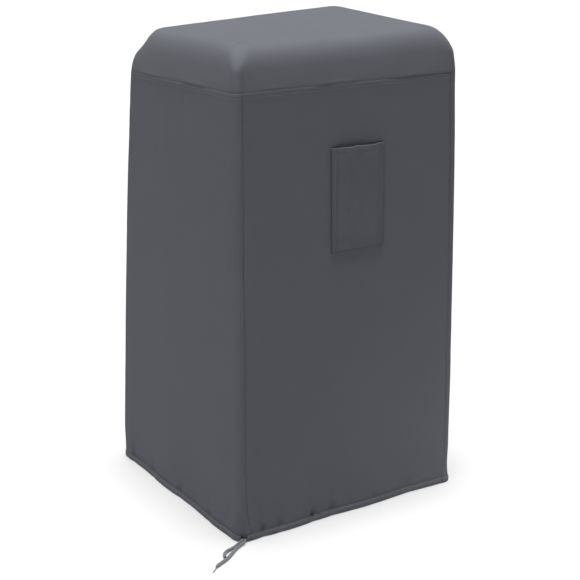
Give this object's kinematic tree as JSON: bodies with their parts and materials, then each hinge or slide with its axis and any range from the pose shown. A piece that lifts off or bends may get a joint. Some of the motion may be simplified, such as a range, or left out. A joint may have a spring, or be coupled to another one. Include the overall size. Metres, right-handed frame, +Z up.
{
  "type": "air conditioner cover",
  "caption": "Fitted cloth dust cover for a floor-standing portable appliance: a soft-edged cap on flared walls, a patch pocket on the front, and a drawstring tie at a corner of the hem.",
  "frame": {"origin": "on the surface it stands on, under the middle of the cover without its tie", "axes": "+Z up; the broad wall with the pocket faces -Y; the eyelet and the tie are at the corner of -X and -Y"},
  "size_m": [0.5272, 0.4789, 0.8037],
  "materials": {
    "cover_cloth": "fine plain weave, soft sheen",
    "eyelet_metal": "dark, satin",
    "tie_cord": "braided cord"
  },
  "bodies": {
    "root": {"top_panel": "cover_cloth", "front_panel": "cover_cloth", "right_panel": "cover_cloth", "back_panel": "cover_cloth", "left_panel": "cover_cloth", "pocket": "cover_cloth", "eyelet": "eyelet_metal", "tie_short_end": "tie_cord", "tie_long_end": "tie_cord"}
  },
  "joints": []
}
